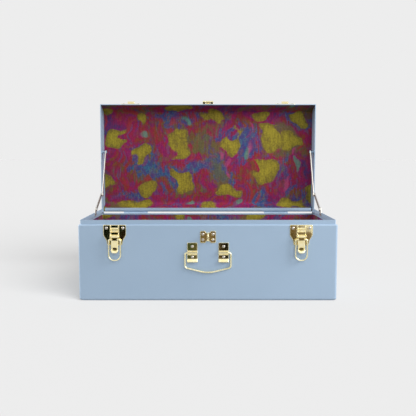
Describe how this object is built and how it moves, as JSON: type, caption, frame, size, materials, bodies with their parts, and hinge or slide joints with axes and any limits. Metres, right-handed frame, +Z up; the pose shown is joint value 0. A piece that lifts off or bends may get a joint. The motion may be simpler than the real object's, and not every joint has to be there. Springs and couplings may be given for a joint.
{
  "type": "trunk",
  "caption": "Folded-steel storage trunk with a stepped neck, hinged lid on folding stays, toggle latches, padlock hasp and a wire carry handle.",
  "frame": {"origin": "middle of the underside of the bottom panel", "axes": "+X along the trunk to the viewer's right, +Y from the front wall to the back, +Z up"},
  "size_m": [0.6, 0.3743, 0.4881],
  "materials": {
    "painted_steel": "satin",
    "brass": "polished",
    "nickel_rivets": "polished",
    "plated_strip": "satin",
    "printed_lining": "matte"
  },
  "bodies": {
    "base": {"base_shell": "painted_steel", "bottom_panel": "painted_steel", "wall_lining": "printed_lining", "floor_lining": "printed_lining", "hinge_base_leaf_left": "painted_steel", "hinge_base_leaf_right": "painted_steel", "hinge_pin_left": "painted_steel", "hinge_pin_right": "painted_steel", "hinge_rivets_base": "nickel_rivets", "latch_plate_left": "brass", "latch_plate_right": "brass", "latch_pin_left": "brass", "latch_pin_right": "brass", "latch_rivets": "nickel_rivets", "staple_plate": "brass", "staple_rivets": "nickel_rivets", "handle_bracket_left": "brass", "handle_bracket_right": "brass", "handle_rivets": "nickel_rivets", "stay_bracket_left": "brass", "stay_bracket_right": "brass", "stay_base_pivot_left": "brass", "stay_base_pivot_right": "brass", "stay_bracket_rivets": "nickel_rivets"},
    "lid": {"lid_shell": "painted_steel", "lid_end_left": "painted_steel", "lid_end_right": "painted_steel", "lid_lining": "printed_lining", "hinge_lid_leaf_left": "painted_steel", "hinge_lid_leaf_right": "painted_steel", "hinge_rivets_lid": "nickel_rivets", "keeper_left": "brass", "keeper_right": "brass", "keeper_rivets": "nickel_rivets", "hasp_leaf": "brass", "hasp_pin": "brass", "hasp_rivets": "nickel_rivets", "stay_lid_stud_left": "brass", "stay_lid_stud_right": "brass"},
    "hasp": {"hasp_strap": "brass"},
    "lever_left": {"latch_lever_left": "brass"},
    "lever_right": {"latch_lever_right": "brass"},
    "bail_left": {"latch_bail_left": "brass"},
    "bail_right": {"latch_bail_right": "brass"},
    "handle": {"handle_bail": "brass"},
    "stay_lower_left": {"stay_lower_link_left": "plated_strip", "stay_elbow_rivet_left": "brass"},
    "stay_lower_right": {"stay_lower_link_right": "plated_strip", "stay_elbow_rivet_right": "brass"},
    "stay_upper_left": {"stay_upper_link_left": "plated_strip", "stay_elbow_cap_left": "brass"},
    "stay_upper_right": {"stay_upper_link_right": "plated_strip", "stay_elbow_cap_right": "brass"}
  },
  "joints": [
    {"name": "lid_hinge", "type": "hinge", "parent": "base", "child": "lid", "pos_m": [0, 0.1528, 0.176], "axis": [1, 0, 0], "range_deg": [0, 90]},
    {"name": "hasp_hinge", "type": "hinge", "parent": "lid", "child": "hasp", "pos_m": [0, 0.1599, 0.4848], "axis": [1, 0, 0], "range_deg": [0, 180]},
    {"name": "latch_left_lever", "type": "hinge", "parent": "base", "child": "lever_left", "pos_m": [-0.2153, -0.156, 0.1515], "axis": [1, 0, 0], "range_deg": [-150, 0]},
    {"name": "latch_right_lever", "type": "hinge", "parent": "base", "child": "lever_right", "pos_m": [0.2153, -0.156, 0.1515], "axis": [1, 0, 0], "range_deg": [-150, 0]},
    {"name": "latch_left_bail", "type": "hinge", "parent": "lever_left", "child": "bail_left", "pos_m": [-0.2153, -0.156, 0.1445], "axis": [-1, 0, 0], "range_deg": [0, 181]},
    {"name": "latch_right_bail", "type": "hinge", "parent": "lever_right", "child": "bail_right", "pos_m": [0.2153, -0.156, 0.1445], "axis": [-1, 0, 0], "range_deg": [0, 181]},
    {"name": "handle_swing", "type": "hinge", "parent": "base", "child": "handle", "pos_m": [0, -0.1522, 0.1133], "axis": [1, 0, 0], "range_deg": [-150, 0]},
    {"name": "stay_lower_left_turn", "type": "hinge", "parent": "base", "child": "stay_lower_left", "pos_m": [-0.2929, 0.033, 0.1963], "axis": [1, 0, 0], "range_deg": [-7, 0]},
    {"name": "stay_upper_left_turn", "type": "hinge", "parent": "lid", "child": "stay_upper_left", "pos_m": [-0.289, 0.1703, 0.3465], "axis": [1, 0, 0], "range_deg": [0, 40.5]},
    {"name": "stay_lower_right_turn", "type": "hinge", "parent": "base", "child": "stay_lower_right", "pos_m": [0.2929, 0.033, 0.1963], "axis": [1, 0, 0], "range_deg": [-7, 0]},
    {"name": "stay_upper_right_turn", "type": "hinge", "parent": "lid", "child": "stay_upper_right", "pos_m": [0.289, 0.1703, 0.3465], "axis": [1, 0, 0], "range_deg": [0, 40.5]}
  ],
  "couplings": [
    {"joint": "stay_lower_left_turn", "follows": "lid_hinge", "ratio": -0.07545},
    {"joint": "stay_upper_left_turn", "follows": "lid_hinge", "ratio": 0.44471},
    {"joint": "stay_lower_right_turn", "follows": "lid_hinge", "ratio": -0.07545},
    {"joint": "stay_upper_right_turn", "follows": "lid_hinge", "ratio": 0.44471}
  ]
}
